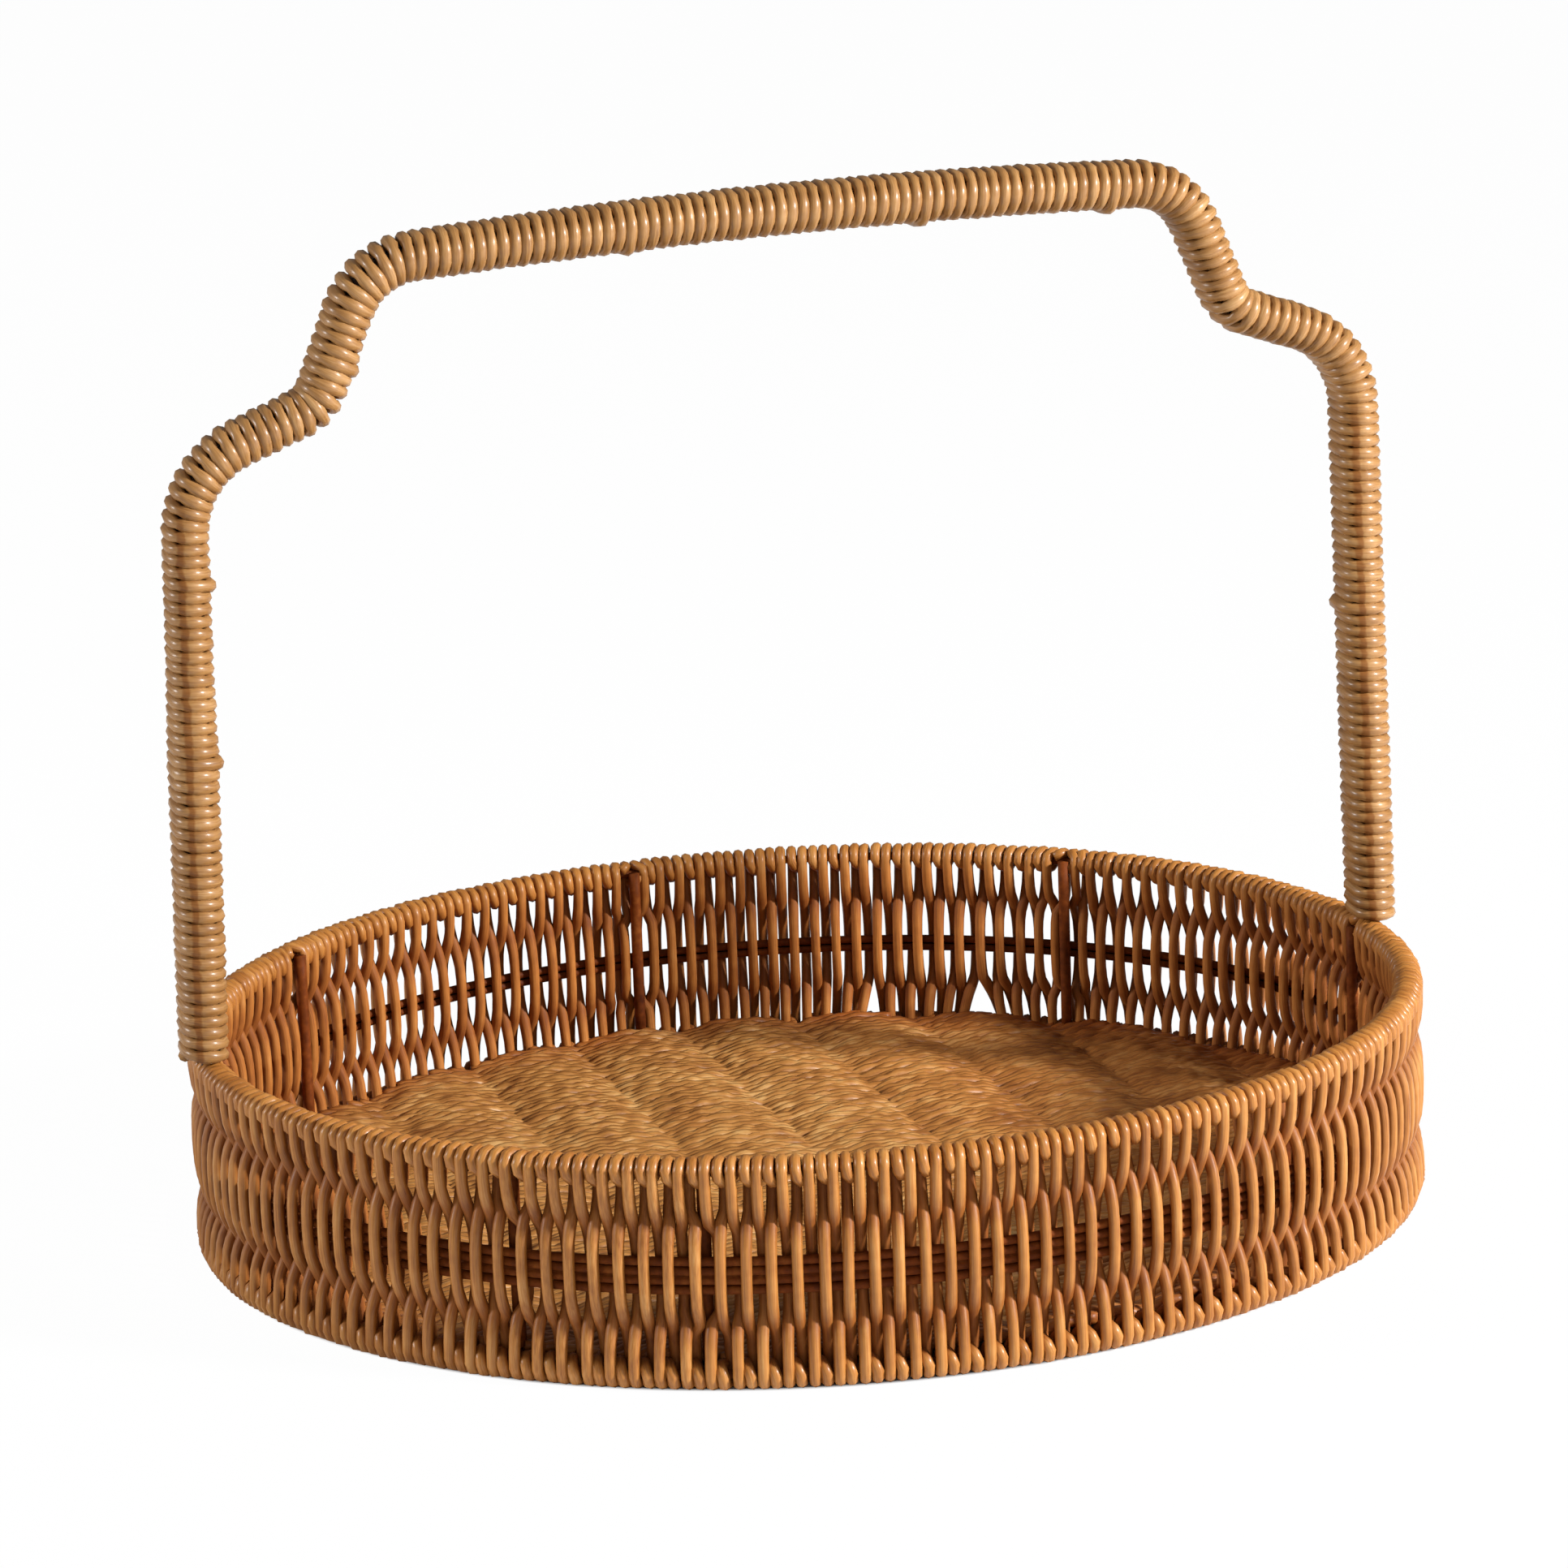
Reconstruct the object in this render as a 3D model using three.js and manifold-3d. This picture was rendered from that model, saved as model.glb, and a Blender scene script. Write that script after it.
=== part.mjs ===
// An oval woven bread basket with a fixed, shouldered high handle.
// Millimetres, +Z up. The origin is on the table, under the middle of the basket.
// The frame is three hoops, upright posts, floor ribs and a bent handle bar, and all the
// rest is strand woven or wound round that frame.

import * as THREE from 'three';
import { mergeVertices } from 'three/addons/utils/BufferGeometryUtils.js';
import Module from 'manifold-3d';

const wasm = await Module();
wasm.setup();

// Driving dimensions: the oval and its hoops
const hoopHalfLength = 184.5;     // hoop centre line, along X
const hoopHalfWidth = 167.5;      // hoop centre line, along Y
const rimHoopHeight = 63;         // centre of the rim hoop above the table
const middleHoopHeight = 33;      // centre of the middle hoop above the table
const hoopRodRadius = 2.2;
const wallStrand = 2.5;           // thickness of the strand that the wall is woven from
const fit = 0.3;                  // clearance between pieces that touch on the real basket

// Driving dimensions: the woven wall
const waistHalfThickness = 1.7;   // half the wall where the strands cross, between hoops
const middleBulgeHeight = 5;      // how tall the wall's bulge over the middle hoop is
const restFaceWidth = 3.8;        // flat that the base edge stands on
const postRadius = 2;
const postAngles = [0, 45, 92, 137, 180, 226, 244, 303];
const postStickOut = 1;           // how far a post passes the rim hoop's centre

// Driving dimensions: the floor
const ribRadius = 2.6;
const ribHeight = 5.5;            // centre of the ribs above the table
const ribPitch = 38;
const ribShift = -11;             // the row of ribs sits a little to the left
const ribToEnd = 18;              // least distance from the last rib to the end of the oval
const floorStrand = 2.2;          // thickness of the strand that the floor is woven from

// Driving dimensions: the handle, as half of its centre line from the foot to the top
const legOverhang = 2.3;          // how far the leg's foot stands outside the rim hoop's line
const legLength = 159.6;          // from the rim to the start of the shoulder
const legLean = 1.5;              // degrees that each leg leans in
const shoulderRadius = 27;
const shoulderTurn = 68.5;        // degrees from the leg to the shoulder's slope
const slopeLength = 19;
const notchRadius = 12;
const notchTurn = 47;
const riserLength = 23;
const cornerRadius = 22;
const cornerTurn = 64;
const barHalfThickness = 3.4;     // the bent bar, seen from the front
const barHalfDepth = 5.4;
const barChamfer = 1.4;
const footPinRadius = 2;
const handleStrand = 3.3;         // thickness of the strand wound round the bar
const windings = 200;
const windingGroove = 1.1;        // how deep the groove between two windings is
const cornerShare = 0.75;         // how much a winding rounds the bar's corners

// Facet counts
const ovalSteps = 40;
const rodSides = 8;
const hoopSides = 6;
const closestStation = 0.02;      // least share of a facet that a panel's end facet may have
const stationTurn = 16;           // most that the handle bends between two rings, in degrees
const longestStation = 20;        // most windings between two rings of the bar
const rimTubeTurns = [60, 20, -20, -55];   // degrees above level of the rim tube's corners
const baseTubeTurns = [55, 15, -30];       // the same for the base tube, down to its flat foot
const handleRuns = { leg: 8, shoulder: 6, slope: 2, notch: 4, riser: 2, corner: 6, arch: 4 };
const curveSamples = 2000;        // steps in which the handle's length is measured
const weldDistance = 1e-4;        // corners closer than this are one
const roundingSlack = 1e-9;       // share of a facet that is lost in rounding

const cane = { color: 0xb98645, roughness: 0.55, metalness: 0 };
const darkCane = { color: 0xa8703a, roughness: 0.6, metalness: 0 };
const rattan = { color: 0x6b3d1e, roughness: 0.6, metalness: 0 };
const steel = { color: 0x4a3a2e, roughness: 0.5, metalness: 0.6 };

// The rim tube and the base tube are a hoop with one strand thickness around it
const tubeRadius = hoopRodRadius + wallStrand;
const baseHoopHeight = Math.sqrt(tubeRadius ** 2 - (restFaceWidth / 2) ** 2);
const boreRadius = hoopRodRadius + fit;
const postOffset = -(hoopRodRadius + fit + postRadius);
const rimTop = rimHoopHeight + tubeRadius;

const basket = new THREE.Group();

function addPiece(name, geometry, finish) {
  const mesh = new THREE.Mesh(geometry, new THREE.MeshStandardMaterial(finish));
  mesh.name = name;
  basket.add(mesh);
}

// Boolean cuts
function toSolid(geometry) {
  const bare = geometry.clone();
  bare.deleteAttribute('normal');
  bare.deleteAttribute('uv');
  const merged = mergeVertices(bare, weldDistance);
  return new wasm.Manifold(new wasm.Mesh({
    numProp: 3,
    vertProperties: new Float32Array(merged.attributes.position.array),
    triVerts: new Uint32Array(merged.index.array),
  }));
}

function toGeometry(solid) {
  const mesh = solid.getMesh();
  const geometry = new THREE.BufferGeometry();
  geometry.setAttribute('position', new THREE.BufferAttribute(new Float32Array(mesh.vertProperties), 3));
  geometry.setIndex(new THREE.BufferAttribute(new Uint32Array(mesh.triVerts), 1));
  return geometry;
}

function cut(geometry, cutters) {
  let solid = toSolid(geometry);
  for (const cutter of cutters) {
    solid = solid.subtract(toSolid(cutter));
  }
  return toGeometry(solid);
}

// The oval wall. Every piece on it follows the same straight facets, so that hoops, tunnels
// and panels stay the same distance apart all the way round.
function ovalPoint(angle, offset) {
  const normal = new THREE.Vector2(hoopHalfWidth * Math.cos(angle), hoopHalfLength * Math.sin(angle));
  normal.normalize();
  return new THREE.Vector2(
    hoopHalfLength * Math.cos(angle) + offset * normal.x,
    hoopHalfWidth * Math.sin(angle) + offset * normal.y,
  );
}

function wallPoint(angle, offset) {
  const cell = 2 * Math.PI / ovalSteps;
  const place = angle / cell;
  const first = Math.floor(place + roundingSlack);
  const from = ovalPoint(first * cell, offset);
  return from.lerp(ovalPoint((first + 1) * cell, offset), place - first);
}

function turnFor(distance, angle) {
  return distance / Math.hypot(hoopHalfLength * Math.sin(angle), hoopHalfWidth * Math.cos(angle));
}

// A ring of constant section round the whole oval
function ovalRing(radius, height, sides) {
  const section = [];
  for (let i = 0; i <= sides; i += 1) {
    const turn = -2 * Math.PI * (i % sides) / sides;
    section.push(new THREE.Vector2(hoopHalfLength + radius * Math.cos(turn), radius * Math.sin(turn)));
  }
  const ring = new THREE.LatheGeometry(section, ovalSteps);
  const place = ring.attributes.position;
  for (let i = 0; i < place.count; i += 1) {
    const angle = (Math.atan2(place.getZ(i), place.getX(i)) + 2 * Math.PI) % (2 * Math.PI);
    const step = Math.round(angle / (2 * Math.PI) * ovalSteps) % ovalSteps;
    const offset = Math.hypot(place.getX(i), place.getZ(i)) - hoopHalfLength;
    const spot = ovalPoint(step * 2 * Math.PI / ovalSteps, offset);
    place.setXYZ(i, spot.x, spot.y, height + place.getY(i));
  }
  return ring;
}

// An upright section, drawn as offset from the hoops' centre line and height above the
// table, carried round the oval from one angle to another
function sweepWall(shape, startAngle, endAngle) {
  const cell = 2 * Math.PI / ovalSteps;
  const stations = [endAngle];
  const first = Math.floor(startAngle / cell + closestStation) + 1;
  const last = Math.ceil(endAngle / cell - closestStation) - 1;
  for (let i = last; i >= first; i -= 1) {
    stations.push(i * cell);
  }
  stations.push(startAngle);
  const steps = stations.length - 1;
  const panel = new THREE.ExtrudeGeometry(shape, { depth: steps, steps, bevelEnabled: false });
  const place = panel.attributes.position;
  for (let i = 0; i < place.count; i += 1) {
    const spot = wallPoint(stations[Math.round(place.getZ(i))], place.getX(i));
    place.setXYZ(i, spot.x, spot.y, place.getY(i));
  }
  return panel;
}

function polygonHole(radius, height, sides) {
  const hole = new THREE.Path();
  for (let i = 0; i < sides; i += 1) {
    const turn = -2 * Math.PI * i / sides;
    const x = radius * Math.cos(turn);
    const y = height + radius * Math.sin(turn);
    if (i === 0) {
      hole.moveTo(x, y);
    } else {
      hole.lineTo(x, y);
    }
  }
  hole.closePath();
  return hole;
}

// The section of a woven panel: a tube round the rim hoop, a waist, a bulge over the middle
// hoop, another waist, and a tube with a flat foot round the base hoop
function panelSection() {
  const side = [];
  const onTube = (height, degrees) => {
    const turn = THREE.MathUtils.degToRad(degrees);
    side.push([tubeRadius * Math.cos(turn), height + tubeRadius * Math.sin(turn)]);
  };
  for (const degrees of rimTubeTurns) {
    onTube(rimHoopHeight, degrees);
  }
  side.push([waistHalfThickness, (rimHoopHeight + middleHoopHeight) / 2]);
  side.push([tubeRadius, middleHoopHeight + middleBulgeHeight / 2]);
  side.push([tubeRadius, middleHoopHeight - middleBulgeHeight / 2]);
  side.push([waistHalfThickness, (middleHoopHeight + baseHoopHeight) / 2]);
  for (const degrees of baseTubeTurns) {
    onTube(baseHoopHeight, degrees);
  }
  side.push([restFaceWidth / 2, 0]);
  const shape = new THREE.Shape();
  shape.moveTo(0, rimTop);
  for (const [x, y] of side) {
    shape.lineTo(-x, y);
  }
  for (const [x, y] of side.reverse()) {
    shape.lineTo(x, y);
  }
  shape.closePath();
  for (const height of [rimHoopHeight, middleHoopHeight, baseHoopHeight]) {
    shape.holes.push(polygonHole(boreRadius, height, hoopSides));
  }
  return shape;
}

// Hoops
addPiece('rim_hoop', ovalRing(hoopRodRadius, rimHoopHeight, hoopSides), rattan);
addPiece('middle_hoop', ovalRing(hoopRodRadius, middleHoopHeight, hoopSides), rattan);
addPiece('base_hoop', ovalRing(hoopRodRadius, baseHoopHeight, hoopSides), rattan);

// Posts, upright against the inside of the hoops, from just above the ribs to the rim
function uprightRod(radius, bottom, top, spot) {
  const rod = new THREE.CylinderGeometry(radius, radius, top - bottom, rodSides);
  rod.rotateX(Math.PI / 2);
  rod.translate(spot.x, spot.y, (bottom + top) / 2);
  return rod;
}

const postSpots = postAngles.map((degrees) => wallPoint(THREE.MathUtils.degToRad(degrees), postOffset));
const postFoot = ribHeight + ribRadius + fit;
const postTop = rimHoopHeight + postStickOut;
postSpots.forEach((spot, i) => {
  addPiece(`wall_post_${i + 1}`, uprightRod(postRadius, postFoot, postTop, spot), rattan);
});

// Floor ribs, lying across the oval between the two long sides of the base hoop
function reachAcross(x, offset) {
  const cell = 2 * Math.PI / ovalSteps;
  for (let i = 0; i < ovalSteps / 2; i += 1) {
    const from = ovalPoint(i * cell, offset);
    const to = ovalPoint((i + 1) * cell, offset);
    if (x <= from.x && x >= to.x) {
      return from.lerp(to, (from.x - x) / (from.x - to.x)).y;
    }
  }
  return 0;
}

function ribRod(x, radius, endOffset) {
  const halfLength = Math.min(reachAcross(x - radius, endOffset), reachAcross(x + radius, endOffset));
  const rod = new THREE.CylinderGeometry(radius, radius, 2 * halfLength, rodSides);
  rod.translate(x, 0, ribHeight);
  return rod;
}

const ribPlaces = [];
const firstRib = -Math.floor((hoopHalfLength - ribToEnd + ribShift) / ribPitch);
for (let i = firstRib; ribShift + i * ribPitch < hoopHalfLength - ribToEnd; i += 1) {
  ribPlaces.push(ribShift + i * ribPitch);
}
const ribEnd = -(hoopRodRadius + fit);
ribPlaces.forEach((x, i) => {
  addPiece(`floor_rib_${i + 1}`, ribRod(x, ribRadius, ribEnd), rattan);
});

// The handle's feet: a pin under each leg stands on the rim hoop
const handleFoot = rimTop + fit;
const footPinX = hoopHalfLength + legOverhang - barHalfThickness + footPinRadius + fit;

function footPin(side, radius, bottom) {
  return uprightRod(radius, bottom, handleFoot + footPinRadius, new THREE.Vector2(side * footPinX, 0));
}

// Woven wall panels from post to post, with tunnels for the hoops, the ribs' ends, the posts
// and the handle's foot pins
const section = panelSection();
const tunnels = ribPlaces.map((x) => ribRod(x, ribRadius + fit, ribEnd + fit));
for (const spot of postSpots) {
  tunnels.push(uprightRod(postRadius + fit, postFoot - fit, postTop + fit, spot));
}
for (const side of [1, -1]) {
  tunnels.push(footPin(side, footPinRadius + fit, rimHoopHeight));
}
postAngles.forEach((degrees, i) => {
  const next = i + 1 < postAngles.length ? postAngles[i + 1] : postAngles[0] + 360;
  const start = THREE.MathUtils.degToRad(degrees);
  const end = THREE.MathUtils.degToRad(next);
  const panel = sweepWall(section, start + turnFor(fit / 2, start), end - turnFor(fit / 2, end));
  addPiece(`woven_panel_${i + 1}`, cut(panel, tunnels), i % 2 === 0 ? cane : darkCane);
});

// The woven floor: strands over and under the ribs make a rolling slab
function floorSlab() {
  const crest = ribRadius + floorStrand;
  const valley = floorStrand;
  const outline = [];
  const left = -hoopHalfLength;
  const right = hoopHalfLength;
  const quarter = ribPitch / 4;
  const firstStep = Math.ceil((left - ribPlaces[0]) / quarter);
  const lastStep = Math.floor((right - ribPlaces[0]) / quarter);
  for (let i = firstStep; i <= lastStep; i += 1) {
    const wave = (1 + Math.cos(i * Math.PI / 2)) / 2;
    outline.push([ribPlaces[0] + i * quarter, valley + (crest - valley) * wave]);
  }
  const shape = new THREE.Shape();
  outline.forEach(([x, rise], i) => {
    if (i === 0) {
      shape.moveTo(x, ribHeight - rise);
    } else {
      shape.lineTo(x, ribHeight - rise);
    }
  });
  for (const [x, rise] of outline.reverse()) {
    shape.lineTo(x, ribHeight + rise);
  }
  shape.closePath();
  const slab = new THREE.ExtrudeGeometry(shape, { depth: 2 * hoopHalfWidth, steps: 1, bevelEnabled: false });
  slab.rotateX(Math.PI / 2);
  slab.translate(0, hoopHalfWidth, 0);
  const edge = new THREE.Shape();
  for (let i = 0; i < ovalSteps; i += 1) {
    const spot = ovalPoint(i * 2 * Math.PI / ovalSteps, -(tubeRadius + fit));
    if (i === 0) {
      edge.moveTo(spot.x, spot.y);
    } else {
      edge.lineTo(spot.x, spot.y);
    }
  }
  edge.closePath();
  const oval = new THREE.ExtrudeGeometry(edge, { depth: rimHoopHeight, steps: 1, bevelEnabled: false });
  oval.translate(0, 0, -ribHeight);
  let solid = toSolid(slab).intersect(toSolid(oval));
  for (const x of ribPlaces) {
    solid = solid.subtract(toSolid(ribRod(x, ribRadius + fit, 0)));
  }
  for (const spot of postSpots) {
    solid = solid.subtract(toSolid(uprightRod(postRadius + fit, -ribHeight, postTop, spot)));
  }
  return toGeometry(solid);
}

addPiece('woven_floor', floorSlab(), cane);

// The handle's centre line, as straight runs and arcs from the foot to the top of the arch
function handleHalf() {
  const spot = new THREE.Vector2(hoopHalfLength + legOverhang, handleFoot);
  const spots = [spot.clone()];
  let heading = 90 + legLean;
  const along = () => {
    const turn = THREE.MathUtils.degToRad(heading);
    return new THREE.Vector2(Math.cos(turn), Math.sin(turn));
  };
  const straight = (length, runs) => {
    for (let i = 0; i < runs; i += 1) {
      spot.addScaledVector(along(), length / runs);
      spots.push(spot.clone());
    }
  };
  const arc = (radius, turn, runs) => {
    const step = turn / runs;
    const chord = 2 * radius * Math.sin(THREE.MathUtils.degToRad(Math.abs(step)) / 2);
    for (let i = 0; i < runs; i += 1) {
      heading += step / 2;
      spot.addScaledVector(along(), chord);
      heading += step / 2;
      spots.push(spot.clone());
    }
  };
  straight(legLength, handleRuns.leg);
  arc(shoulderRadius, shoulderTurn, handleRuns.shoulder);
  straight(slopeLength, handleRuns.slope);
  arc(notchRadius, -notchTurn, handleRuns.notch);
  straight(riserLength, handleRuns.riser);
  arc(cornerRadius, cornerTurn, handleRuns.corner);
  const lastTurn = 180 - heading;
  const archRadius = spot.x / Math.sin(THREE.MathUtils.degToRad(lastTurn));
  arc(archRadius, lastTurn, handleRuns.arch);
  return spots;
}

function handleCurve() {
  const right = handleHalf();
  const left = right.slice(0, -1).reverse().map((spot) => new THREE.Vector2(-spot.x, spot.y));
  const spots = [...right, ...left].map((spot) => new THREE.Vector3(spot.x, 0, spot.y));
  const curve = new THREE.CatmullRomCurve3(spots, false, 'centripetal');
  curve.arcLengthDivisions = curveSamples;
  return curve;
}

// Eight points of a chamfered rectangle: thickness in the handle's plane, depth along Y
function barSection(halfThickness, halfDepth, chamfer) {
  const t = halfThickness;
  const d = halfDepth;
  const c = chamfer;
  return [[t, d - c], [t - c, d], [c - t, d], [-t, d - c], [-t, c - d], [c - t, -d], [t - c, -d], [t, c - d]];
}

// A ring of the section's points, square to the curve
function sectionRing(curve, share, points) {
  const centre = curve.getPointAt(share);
  const along = curve.getTangentAt(share);
  const across = new THREE.Vector3(along.z, 0, -along.x);
  return points.map(([x, y]) => centre.clone().addScaledVector(across, x).add(new THREE.Vector3(0, y, 0)));
}

// Rings joined into one closed skin. A ring list that comes back to its start is a sleeve.
function skin(rings, closed) {
  const sides = rings[0].length;
  const places = rings.flat().flatMap((point) => point.toArray());
  const faces = [];
  const last = closed ? rings.length : rings.length - 1;
  for (let i = 0; i < last; i += 1) {
    const here = i * sides;
    const there = ((i + 1) % rings.length) * sides;
    for (let j = 0; j < sides; j += 1) {
      const k = (j + 1) % sides;
      faces.push(here + j, here + k, there + k);
      faces.push(here + j, there + k, there + j);
    }
  }
  if (!closed) {
    const end = (rings.length - 1) * sides;
    for (let j = 1; j < sides - 1; j += 1) {
      faces.push(0, j + 1, j);
      faces.push(end, end + j, end + j + 1);
    }
  }
  const geometry = new THREE.BufferGeometry();
  geometry.setAttribute('position', new THREE.Float32BufferAttribute(places, 3));
  geometry.setIndex(faces);
  return geometry;
}

const handleLine = handleCurve();

// Where the bar and its sleeve's bore have a ring, counted in windings: close together in
// the bends, far apart on the straight runs, and the same for both
function barStations() {
  const stations = [0];
  let last = handleLine.getTangentAt(0);
  for (let i = 1; i < windings; i += 1) {
    const next = handleLine.getTangentAt((i + 1) / windings);
    const turned = THREE.MathUtils.radToDeg(last.angleTo(next));
    if (turned > stationTurn || i - stations.at(-1) >= longestStation) {
      stations.push(i);
      last = handleLine.getTangentAt(i / windings);
    }
  }
  stations.push(windings);
  return stations;
}

function barRings(halfThickness, halfDepth) {
  const points = barSection(halfThickness, halfDepth, barChamfer);
  return barStations().map((i) => sectionRing(handleLine, i / windings, points));
}

// The bent bar, with a pin at each foot that stands on the rim hoop
function handleBar() {
  let solid = toSolid(skin(barRings(barHalfThickness, barHalfDepth), false));
  for (const side of [1, -1]) {
    solid = solid.add(toSolid(footPin(side, footPinRadius, rimHoopHeight + hoopRodRadius + fit)));
  }
  return toGeometry(solid);
}

addPiece('handle_bar', handleBar(), steel);

// The strand wound round the bar: a sleeve with one ridge for each winding
function handleWinding() {
  const halfThickness = barHalfThickness + handleStrand;
  const halfDepth = barHalfDepth + handleStrand;
  const roundness = barChamfer + handleStrand * cornerShare;
  const crest = barSection(halfThickness, halfDepth, roundness);
  const groove = barSection(halfThickness - windingGroove, halfDepth - windingGroove, roundness);
  const rings = [];
  for (let i = 0; i <= windings; i += 1) {
    rings.push(sectionRing(handleLine, i / windings, groove));
    if (i < windings) {
      rings.push(sectionRing(handleLine, (i + 0.5) / windings, crest));
    }
  }
  rings.push(...barRings(barHalfThickness + fit, barHalfDepth + fit).reverse());
  return skin(rings, true);
}

addPiece('handle_winding', handleWinding(), cane);

export default basket;
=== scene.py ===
"""An oval woven bread basket with a wound, shouldered high handle.

Sizes are in millimetres until a piece is made, and MM turns them into metres. The frame gives
the hoops' size and place, and the strands are laid round them by formulas.
"""

import math
import random

import bpy
import numpy as np
from mathutils import Matrix, Vector


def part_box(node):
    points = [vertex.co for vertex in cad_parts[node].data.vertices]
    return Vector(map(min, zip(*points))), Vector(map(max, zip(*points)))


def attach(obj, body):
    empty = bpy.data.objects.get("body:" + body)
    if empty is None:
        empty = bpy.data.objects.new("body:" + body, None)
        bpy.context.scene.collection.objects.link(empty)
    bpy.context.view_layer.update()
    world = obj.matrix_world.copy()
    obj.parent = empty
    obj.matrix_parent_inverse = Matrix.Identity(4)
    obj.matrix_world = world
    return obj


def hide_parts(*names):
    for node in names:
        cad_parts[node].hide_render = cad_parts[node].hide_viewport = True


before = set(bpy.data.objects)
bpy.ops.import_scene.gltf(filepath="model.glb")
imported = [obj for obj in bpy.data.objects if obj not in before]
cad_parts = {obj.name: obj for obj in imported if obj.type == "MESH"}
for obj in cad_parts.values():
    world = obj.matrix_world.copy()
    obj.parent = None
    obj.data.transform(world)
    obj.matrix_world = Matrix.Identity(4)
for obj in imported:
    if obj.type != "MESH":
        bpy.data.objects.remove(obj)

bpy.ops.object.select_all(action="DESELECT")
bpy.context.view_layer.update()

MM = 0.001


def middle_height(node):
    """The height of a node's middle in the frame."""
    low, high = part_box(node)
    return (low.z + high.z) / 2 / MM


# The hoops, as the frame holds them
HOOP_ROD = 2.2
WALL_EASE = 0.022            # how much wider the strands' oval is than the hoops'
WRAPPED_ROD = 1.35           # the rim and base hoops' rod inside the wraps
HOOP_STEPS = 160             # rings round a hoop's rod
rim_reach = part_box("rim_hoop")[1]
HOOP_HALF_LENGTH = rim_reach.x / MM - HOOP_ROD
HOOP_HALF_WIDTH = rim_reach.y / MM - HOOP_ROD + WALL_EASE
RIM_HEIGHT = middle_height("rim_hoop")
MIDDLE_HEIGHT = middle_height("middle_hoop")
BASE_HEIGHT = middle_height("base_hoop")

# The woven wall
WALL_SEED = 11
WALL_STRAND = 1.66           # radius of the strand
WRAP_SWELL = 1.05            # how much wider it lies in the wraps round the rim and the foot
WRAP_TURN = 540              # degrees that it goes round a hoop before it leaves it again
WRAP_STEP = 40               # degrees from ring to ring round a hoop
PAIR_PITCH = 7.0             # from one strand that goes down outside to the next
FIRST_PLACE = 0.2            # of a stretch's first strand, in pitches past its post
LEAN = 0.08                  # how far a strand's inner run lies ahead of its outer, in pitches
CROSSING_HASTE = 1.5         # how suddenly a strand passes through the wall between two hoops
CROSSING_SWELL = 0.1         # how much wider it is where it is squeezed through
LEG_SHARES = (0, 0.08, 0.15, 0.2, 0.25, 0.3, 0.35, 0.42)   # places of half a leg's rings
MIDDLE_ROD = 1.35            # radius of each of the middle hoop's two rods
LAP_ROD = 1.4                # one more rod lies over and one under them along the front
LAP_ENDS = (186, 338)        # degrees round the oval, as the posts' places are
LAP_STEPS = 90
POST_ANGLES = (0, 45, 92, 137, 180, 226, 244, 303)
POST_ROD = 1.9
POST_FOOT = 4                # a post's ends stand this far above the base and rim hoops' middle
POST_HEAD = 1
POST_STEPS = 8
POST_ROOM = 3.5              # from a post's middle to the nearest inner strand's middle
INNER_FROM = 0.5             # this far inside the hoops' line a strand starts to give it room
PARTINGS = ((67.8, 5.0), (54.8, 13.5))   # where the foot's strands are pushed apart, and how wide
PARTING_HEIGHT = 22          # above this they stand as they would
PARTING_REACH = 14           # how far along the wall they make room
PARTING_END = 56             # and strands farther off than this stay where they are

# How a wall's strand wanders: how many rings to a new aim, and how far off it may lie
LONG_LEG_WANDER = (16, 0.3)
SHORT_LEG_WANDER = (5, 0.2)
OFFSET_WANDER = (4, 0.12)
HEIGHT_WANDER = (9, 0.25)
WALL_SWELL_WANDER = (30, 0.05)

# The floor: a mat woven on thin stakes, which rolls over the ribs beneath it
FLOOR_SEED = 23
RIB_COUNT = 9
RIB_ROD = 2.1
RIB_SINK = 1.0               # how far the ribs' middles lie below the frame's
RIB_STEPS = 12
MAT_CREST = 8.8              # height of the mat's middle over a rib
MAT_VALLEY = 6.0
MAT_FULLNESS = 0.9           # under 1 rounds the rolls and sharpens the creases between them
STAKE_PITCH = 4.0
STAKE_ROD = 0.7
STAKE_RISE = 0.3             # how far a strand rises over one stake and dips under the next
STAKE_STEPS = 12
FLOOR_STRAND = 1.9
FLOOR_PITCH = 3.3
FLOOR_STEP = 1.6             # from ring to ring along a floor strand
FLOOR_EDGE = 3.6             # how far inside the hoops' line the floor's strands end
FLOOR_HALF_LENGTH = HOOP_HALF_LENGTH - FLOOR_EDGE
FLOOR_HALF_WIDTH = HOOP_HALF_WIDTH - FLOOR_EDGE

# How a floor strand wanders: along the stakes' rhythm in stakes, in height, swell and place
RHYTHM_WANDER = (6, 1.0)
FLOOR_HEIGHT_WANDER = (5, 0.3)
FLOOR_SWELL_WANDER = (4, 0.16)
FLOOR_PLACE_WANDER = (4, 0.6)

# The handle's centre line, as half of it from the foot to the top
LEG_OVERHANG = 2.3
LEG_LENGTH = 159.6
LEG_LEAN = 1.5
SHOULDER_RADIUS = 27
SHOULDER_TURN = 68.5
SLOPE_LENGTH = 19
NOTCH_RADIUS = 12
NOTCH_TURN = 47
RISER_LENGTH = 23
CORNER_RADIUS = 22
CORNER_TURN = 64
HANDLE_FOOT = 68.0
TILT_HEIGHTS = (150, 230)    # the handle was bent a little askew, from here up to here
TILT_SLOPE = 0.019
TILT_MIDDLE = 25             # how far left of the middle it has neither sunk nor risen
CROWN_HEIGHTS = (262, 287)   # and its top stands a little higher still
CROWN_RISE = 1.0

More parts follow.
